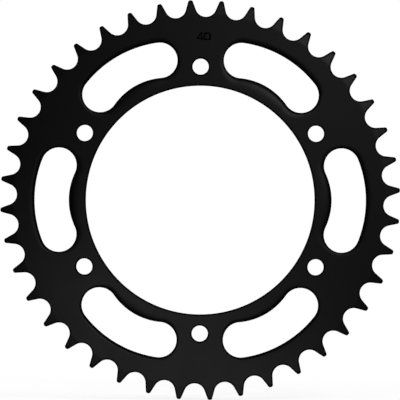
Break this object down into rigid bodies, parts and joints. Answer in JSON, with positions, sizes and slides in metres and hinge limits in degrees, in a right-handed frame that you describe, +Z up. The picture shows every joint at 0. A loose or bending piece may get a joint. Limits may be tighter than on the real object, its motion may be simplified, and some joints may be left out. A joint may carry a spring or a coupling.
{
  "type": "rear sprocket",
  "caption": "Flat steel chain sprocket with a large carrier bore, a circle of bolt holes and curved lightening slots.",
  "frame": {"origin": "centre of the carrier bore, midway between the two faces of the plate", "axes": "+Y along the axis of rotation, from the outer, stamped face towards the face that seats on the wheel's carrier; +Z points up through a bolt hole, and +X to the right as the outer face is seen"},
  "size_m": [0.2096, 0.0058, 0.2096],
  "materials": {
    "black_steel": "satin black coat on steel, with turned bevels on the teeth"
  },
  "bodies": {
    "root": {"sprocket_plate": "black_steel"}
  },
  "joints": []
}
